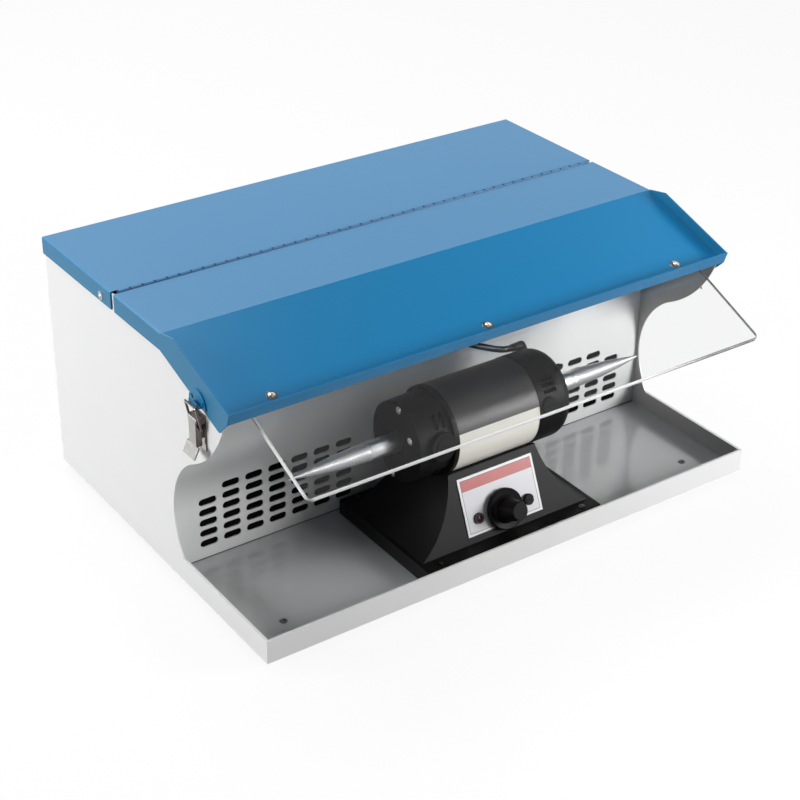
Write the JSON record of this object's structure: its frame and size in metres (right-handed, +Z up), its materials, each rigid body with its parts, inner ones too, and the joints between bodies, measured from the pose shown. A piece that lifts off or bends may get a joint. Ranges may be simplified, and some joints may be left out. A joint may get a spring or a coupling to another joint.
{
  "type": "dental polishing lathe",
  "caption": "Bench polishing motor with two tapered screw spindles on a pedestal, inside a sheet-metal dust cabinet with an open front tray, slotted baffle, hinged lid and clear shield.",
  "frame": {"origin": "bottom centre of the whole object's box, on the plane that the feet stand on", "axes": "+X along the spindles to the user's right, +Y to the rear wall, +Z up"},
  "size_m": [0.5556, 0.412, 0.2491],
  "materials": {
    "white_sheet": "semi-gloss powder coat",
    "blue_sheet": "fine-textured powder coat",
    "bright_steel": "bright nickel plate",
    "steel": "ground",
    "zinc_spindle": "zinc plate",
    "laminations": "varnished",
    "copper": "enamelled copper",
    "black_rubber": "matte",
    "black_cord": "satin",
    "filter_felt": "felt",
    "black_plastic": "satin",
    "black_cast": "satin black",
    "cream_enamel": "gloss enamel",
    "black_wrap": "satin film",
    "carbon": "matte",
    "white_plate": "printed white with a red band",
    "lamp_red": "dark bezel with a red lens",
    "board_green": "solder mask",
    "clear_acrylic": "clear"
  },
  "bodies": {
    "cabinet": {"left_side_panel": "white_sheet", "right_side_panel": "white_sheet", "floor_tray": "white_sheet", "rear_wall": "white_sheet", "vented_baffle": "white_sheet", "rear_lid": "blue_sheet", "hinge_fixed_leaf": "blue_sheet", "hinge_pin": "steel", "rubber_feet": "black_rubber", "foot_screws": "bright_steel", "lid_screws": "bright_steel", "filter_pad": "filter_felt", "fan_housing": "black_plastic", "fan_guard": "steel", "inlet_and_switch_housing": "black_plastic", "motor_pedestal": "black_cast", "pedestal_bottom_plate": "steel", "pedestal_screws": "bright_steel", "motor_shell": "cream_enamel", "rating_plate": "black_wrap", "left_end_bell": "black_cast", "right_end_bell": "black_cast", "end_bell_screws": "bright_steel", "brush_caps": "black_plastic", "carbon_brushes": "carbon", "brush_springs": "steel", "stator_core": "laminations", "field_coils": "copper", "bearing_outer_rings": "steel", "control_plate": "white_plate", "potentiometer": "black_plastic", "indicator_lamp": "lamp_red", "fuse_holder": "black_plastic", "speed_control_board": "board_green", "motor_lead": "black_cord", "lead_grommets": "black_rubber", "latch_bases": "bright_steel"},
    "rotor": {"rotor_shaft": "steel", "armature_core": "laminations", "armature_windings": "copper", "commutator": "copper", "cooling_fan": "black_plastic", "bearing_inner_rings": "steel", "bearing_balls": "steel", "left_tapered_spindle": "zinc_spindle", "right_tapered_spindle": "zinc_spindle"},
    "knob": {"speed_knob": "black_plastic", "potentiometer_shaft": "steel"},
    "suction_fan": {"suction_impeller": "black_plastic"},
    "rocker": {"switch_rocker": "black_plastic"},
    "lid": {"front_lid": "blue_sheet", "hinge_moving_leaf": "blue_sheet", "acrylic_shield": "clear_acrylic", "shield_screws": "bright_steel", "shield_washers": "black_rubber", "lid_hooks": "blue_sheet"},
    "left_lever": {"left_latch_lever": "bright_steel"},
    "left_bail": {"left_latch_bail": "bright_steel"},
    "right_lever": {"right_latch_lever": "bright_steel"},
    "right_bail": {"right_latch_bail": "bright_steel"}
  },
  "joints": [
    {"name": "lid_hinge", "type": "hinge", "parent": "cabinet", "child": "lid", "pos_m": [0, 0.06419, 0.2443], "axis": [-1, 0, 0], "range_deg": [0, 105]},
    {"name": "motor_spin", "type": "hinge", "parent": "cabinet", "child": "rotor", "pos_m": [0, -0.09831, 0.117], "axis": [1, 0, 0], "continuous": true},
    {"name": "speed_knob_turn", "type": "hinge", "parent": "cabinet", "child": "knob", "pos_m": [0, -0.14624, 0.04395], "axis": [0, 0.9199, -0.3921], "range_deg": [0, 300]},
    {"name": "suction_fan_spin", "type": "hinge", "parent": "cabinet", "child": "suction_fan", "pos_m": [-0.11, 0.18169, 0.126], "axis": [0, 1, 0], "continuous": true},
    {"name": "switch_rock", "type": "hinge", "parent": "cabinet", "child": "rocker", "pos_m": [0.1835, 0.20219, 0.066], "axis": [-1, 0, 0], "range_deg": [0, 16]},
    {"name": "left_latch_lift", "type": "hinge", "parent": "cabinet", "child": "left_lever", "pos_m": [-0.27, -0.08331, 0.1955], "axis": [0, 1, 0], "range_deg": [0, 110]},
    {"name": "left_bail_swing", "type": "hinge", "parent": "left_lever", "child": "left_bail", "pos_m": [-0.2692, -0.08331, 0.1875], "axis": [0, 1, 0], "range_deg": [-132, 0]},
    {"name": "right_latch_lift", "type": "hinge", "parent": "cabinet", "child": "right_lever", "pos_m": [0.27, -0.08331, 0.1955], "axis": [0, -1, 0], "range_deg": [0, 110]},
    {"name": "right_bail_swing", "type": "hinge", "parent": "right_lever", "child": "right_bail", "pos_m": [0.2692, -0.08331, 0.1875], "axis": [0, -1, 0], "range_deg": [-132, 0]}
  ],
  "couplings": [
    {"joint": "left_bail_swing", "follows": "left_latch_lift", "ratio": -1.2},
    {"joint": "right_bail_swing", "follows": "right_latch_lift", "ratio": -1.2}
  ]
}
